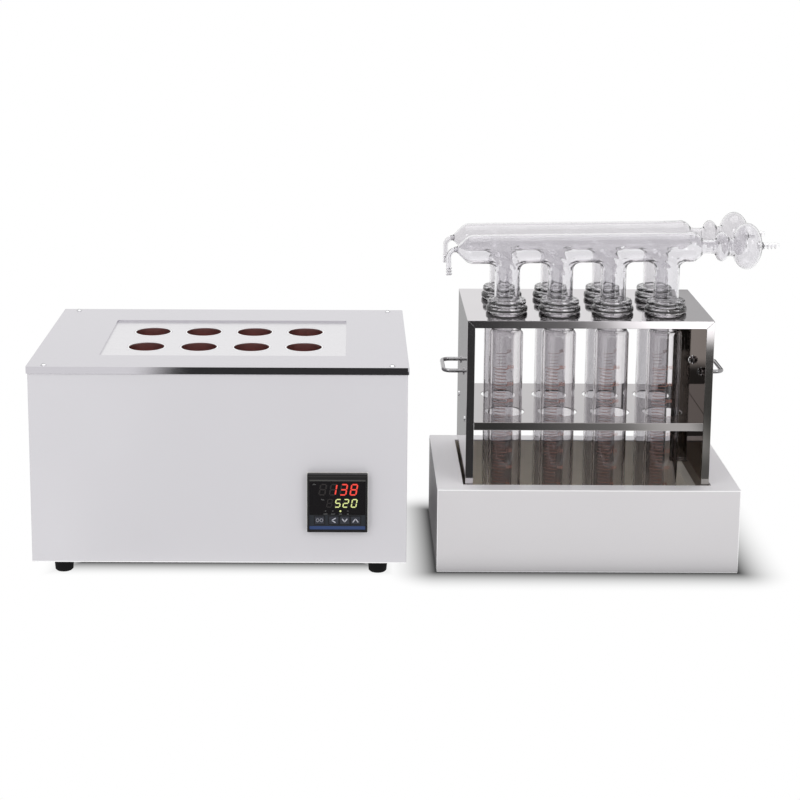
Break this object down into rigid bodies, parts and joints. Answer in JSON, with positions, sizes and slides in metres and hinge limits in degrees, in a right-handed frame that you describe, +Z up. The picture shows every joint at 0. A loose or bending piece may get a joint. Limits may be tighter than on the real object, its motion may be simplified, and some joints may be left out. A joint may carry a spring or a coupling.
{
  "type": "block digester",
  "caption": "Block heater with round wells and a controller in its front, beside a drip tray holding a tube rack with glass digestion tubes under bulbed glass exhaust manifolds.",
  "frame": {"origin": "on the bench, in the middle of the whole set: heater unit at -X, drip tray with rack at +X", "axes": "+X to the right as seen from the front, +Y to the back, +Z up"},
  "size_m": [0.9064, 0.324, 0.4191],
  "materials": {
    "white_paint": "smooth pale grey-white powder coat",
    "cover_steel": "finely brushed stainless sheet",
    "rack_steel": "polished stainless sheet",
    "plain_steel": "plain zinc-plated sheet",
    "bright_metal": "bright plated screws, nuts and wire",
    "black_rubber": "moulded black rubber",
    "block_aluminium": "machined",
    "well_liner": "brown heat-tinted liner",
    "insulation_white": "ceramic fibre board",
    "pale_gasket": "pale gasket",
    "black_plastic": "black moulded plastic",
    "display_glass": "smoked display window",
    "key_grey": "slate grey keys",
    "ivory_plastic": "ivory moulded plastic",
    "wire_red": "insulated wire",
    "stud_brass": "turned brass",
    "rocker_red": "red rocker",
    "clear_glass": "clear borosilicate glass"
  },
  "bodies": {
    "base": {"cabinet_shell": "white_paint", "bottom_plate": "plain_steel", "top_cover": "cover_steel", "well_plate": "cover_steel", "cover_screws": "bright_metal", "plate_screws": "bright_metal", "rubber_feet": "black_rubber", "foot_screws": "bright_metal", "heating_block": "block_aluminium", "well_sleeves": "well_liner", "insulation_jacket": "insulation_white", "inner_box": "plain_steel", "box_pillars": "plain_steel", "cartridge_heaters": "plain_steel", "temperature_probe": "plain_steel", "overheat_cutout": "plain_steel", "controller_gasket": "pale_gasket", "controller_bezel": "black_plastic", "display_window": "display_glass", "controller_case": "black_plastic", "controller_clamp": "black_plastic", "solid_state_relay": "ivory_plastic", "relay_heat_sink": "block_aluminium", "terminal_block": "ivory_plastic", "wiring_loom": "wire_red", "earth_stud": "stud_brass", "mains_inlet": "black_plastic", "rocker_housing": "black_plastic", "tray_shell": "white_paint", "tray_basin": "rack_steel"},
    "rack": {"rack_frame": "rack_steel", "rack_shelf": "rack_steel", "shelf_rivets": "bright_metal", "left_handle": "bright_metal", "right_handle": "bright_metal", "handle_nuts": "bright_metal"},
    "front_row": {"tube_front_1": "clear_glass", "tube_front_2": "clear_glass", "tube_front_3": "clear_glass", "tube_front_4": "clear_glass"},
    "rear_row": {"tube_rear_1": "clear_glass", "tube_rear_2": "clear_glass", "tube_rear_3": "clear_glass", "tube_rear_4": "clear_glass"},
    "front_glass": {"front_manifold": "clear_glass"},
    "rear_glass": {"rear_manifold": "clear_glass"},
    "rocker": {"power_rocker": "rocker_red"},
    "set_key_cap": {"set_key": "key_grey"},
    "shift_key_cap": {"shift_key": "key_grey"},
    "down_key_cap": {"down_key": "key_grey"},
    "up_key_cap": {"up_key": "key_grey"}
  },
  "joints": [
    {"name": "rack_lift", "type": "slide", "parent": "base", "child": "rack", "axis": [0, 0, 1], "range_m": [0, 0.12]},
    {"name": "front_row_lift", "type": "slide", "parent": "rack", "child": "front_row", "axis": [0, 0, 1], "range_m": [0, 0.3]},
    {"name": "rear_row_lift", "type": "slide", "parent": "rack", "child": "rear_row", "axis": [0, 0, 1], "range_m": [0, 0.3]},
    {"name": "front_manifold_lift", "type": "slide", "parent": "front_row", "child": "front_glass", "axis": [0, 0, 1], "range_m": [0, 0.06]},
    {"name": "rear_manifold_lift", "type": "slide", "parent": "rear_row", "child": "rear_glass", "axis": [0, 0, 1], "range_m": [0, 0.06]},
    {"name": "set_key_press", "type": "slide", "parent": "base", "child": "set_key_cap", "axis": [0, 1, 0], "range_m": [0, 0.0005], "stiffness_N_per_m": 600, "springref_m": -0.0003},
    {"name": "shift_key_press", "type": "slide", "parent": "base", "child": "shift_key_cap", "axis": [0, 1, 0], "range_m": [0, 0.0005], "stiffness_N_per_m": 600, "springref_m": -0.0003},
    {"name": "down_key_press", "type": "slide", "parent": "base", "child": "down_key_cap", "axis": [0, 1, 0], "range_m": [0, 0.0005], "stiffness_N_per_m": 600, "springref_m": -0.0003},
    {"name": "up_key_press", "type": "slide", "parent": "base", "child": "up_key_cap", "axis": [0, 1, 0], "range_m": [0, 0.0005], "stiffness_N_per_m": 600, "springref_m": -0.0003},
    {"name": "rocker_tilt", "type": "hinge", "parent": "base", "child": "rocker", "pos_m": [-0.37671, 0.155, 0.132], "axis": [1, 0, 0], "range_deg": [-18, 0]}
  ]
}
